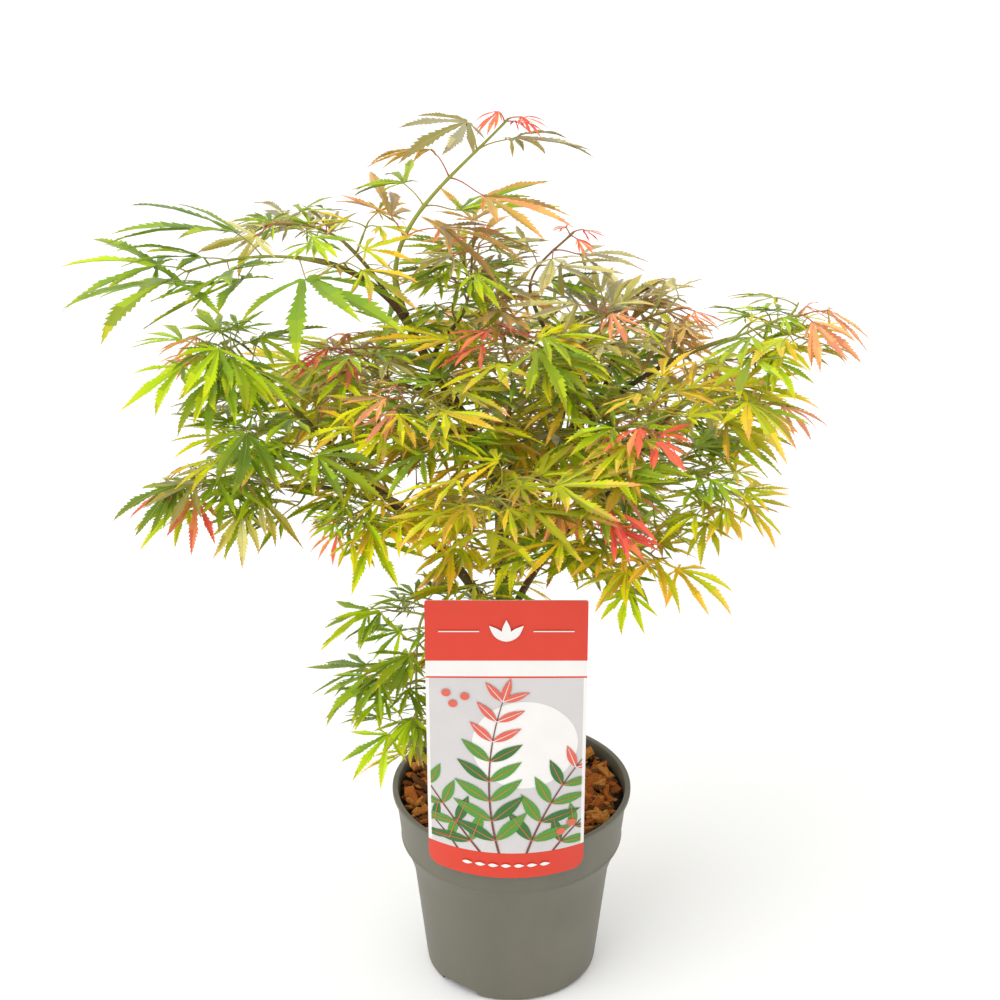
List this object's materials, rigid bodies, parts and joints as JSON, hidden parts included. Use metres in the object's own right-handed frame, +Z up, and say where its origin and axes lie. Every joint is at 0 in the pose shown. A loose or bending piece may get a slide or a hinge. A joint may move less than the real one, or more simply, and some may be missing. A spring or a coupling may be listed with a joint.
{
  "type": "potted japanese maple",
  "caption": "Young shrub in a round nursery pot: a short trunk, arching boughs and masses of narrow lobed leaves, with a plant card hooked over the rim.",
  "frame": {"origin": "middle of the pot's flat underside, where the pot stands", "axes": "+Z up along the pot's axis, the plant card on the -Y side, +X to the right of the card"},
  "size_m": [0.5812, 0.4601, 0.7399],
  "materials": {
    "pot_plastic": "moulded grey-green polypropylene",
    "bark_mulch": "loose red-brown bark chips",
    "card_print": "printed plant card, red band over a leaf panel",
    "trunk_bark": "smooth olive-green bark",
    "bough_bark": "smooth bark, red-brown on the young wood",
    "leaf_green": "fresh green leaves",
    "leaf_lime": "yellow-green leaves",
    "leaf_olive": "grey-olive leaves",
    "leaf_bronze": "bronze and orange leaves",
    "leaf_coral": "green leaves with coral young shoots"
  },
  "bodies": {
    "root": {"pot": "pot_plastic", "compost": "bark_mulch", "plant_card": "card_print", "trunk": "trunk_bark", "leader": "bough_bark", "right_leader": "bough_bark", "left_bough": "bough_bark", "right_bough": "bough_bark", "low_left_bough": "bough_bark", "arch_bough": "bough_bark", "upper_left_bough": "bough_bark", "crown_bough": "bough_bark", "inner_left_bough": "bough_bark", "inner_bough": "bough_bark", "front_top_bough": "bough_bark", "back_left_bough": "bough_bark", "fan_bough": "bough_bark", "left_arm": "bough_bark", "front_left_bough": "bough_bark", "right_top_bough": "bough_bark", "inner_right_bough": "bough_bark", "right_upper_bough": "bough_bark", "far_right_bough": "bough_bark", "right_front_bough": "bough_bark", "back_right_bough": "bough_bark", "right_mid_bough": "bough_bark", "front_right_bough": "bough_bark", "front_mid_bough": "bough_bark", "front_bough": "bough_bark", "back_bough": "bough_bark", "low_back_bough": "bough_bark", "top_shoot": "leaf_bronze", "left_arch": "leaf_green", "upper_left": "leaf_olive", "left_mid": "leaf_green", "left_fan": "leaf_green", "left_low": "leaf_lime", "front_left": "leaf_lime", "low_left": "leaf_lime", "crown": "leaf_olive", "right_top": "leaf_olive", "right_upper": "leaf_bronze", "far_right": "leaf_coral", "right_mid": "leaf_green", "right_low": "leaf_lime", "front_right": "leaf_lime", "front": "leaf_lime", "front_mid": "leaf_coral", "front_top": "leaf_green", "right_front": "leaf_coral", "inner": "leaf_green", "inner_left": "leaf_olive", "inner_right": "leaf_olive", "back_left": "leaf_green", "back": "leaf_olive", "back_right": "leaf_green", "low_back": "leaf_lime"}
  },
  "joints": []
}
